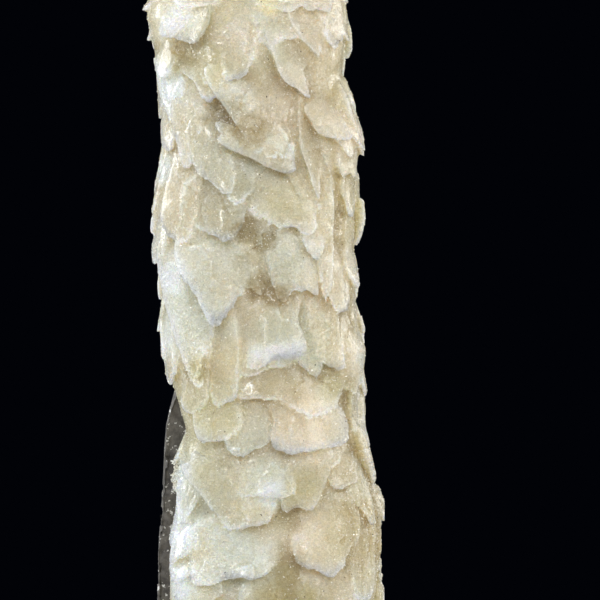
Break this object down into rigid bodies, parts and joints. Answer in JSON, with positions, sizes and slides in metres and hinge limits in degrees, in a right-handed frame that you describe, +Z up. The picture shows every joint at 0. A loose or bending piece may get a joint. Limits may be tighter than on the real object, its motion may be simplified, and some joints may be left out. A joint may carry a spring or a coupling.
{
  "type": "bladed quartz specimen",
  "caption": "Upright finger of milky quartz covered in overlapping downward blades, on a slab of dark host rock, standing on a flat cut base.",
  "frame": {"origin": "on the flat cut base, inside the quartz, below the column's middle", "axes": "+Z up along the column; -Y out of the front, the side with no host rock; +X to the right of someone who looks at the front"},
  "size_m": [0.0606, 0.0409, 0.18],
  "materials": {
    "milky_quartz": "milky, part glossy and part sugary",
    "dark_host_rock": "rough, dull"
  },
  "bodies": {
    "root": {"bladed_quartz": "milky_quartz", "host_rock": "dark_host_rock"}
  },
  "joints": []
}
